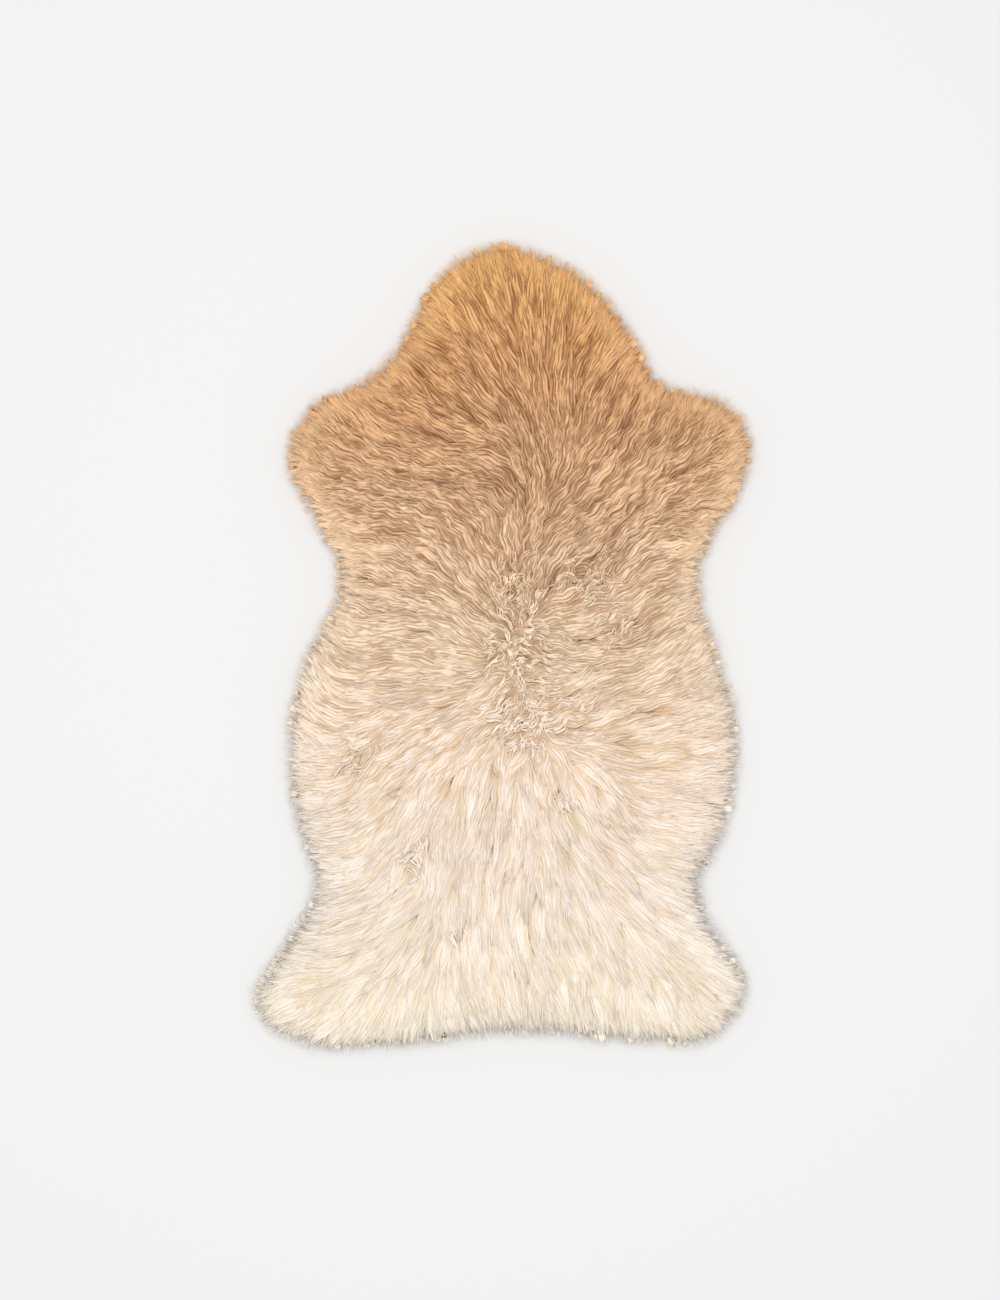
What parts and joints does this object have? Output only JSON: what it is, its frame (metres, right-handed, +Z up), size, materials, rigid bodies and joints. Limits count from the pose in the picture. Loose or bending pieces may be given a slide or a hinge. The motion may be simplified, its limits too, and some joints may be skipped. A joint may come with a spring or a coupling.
{
  "type": "sheepskin rug",
  "caption": "Whole-pelt sheepskin rug lying flat, with long combed wool and an outline of neck, shoulders, waist, flanks and hind legs.",
  "frame": {"origin": "on the floor, under the middle of the rug's bounding box", "axes": "+Y along the rug to the neck, +Z up from the hide to the wool, +X to the right as seen from above with the neck at the top"},
  "size_m": [0.5973, 0.9646, 0.055],
  "materials": {
    "wool": "long soft wool in wavy combed locks, shading from golden tan at the neck to ivory at the hind legs",
    "hide": "tanned flesh side, matt suede"
  },
  "bodies": {
    "root": {"fleece_pelt": "wool"}
  },
  "joints": []
}
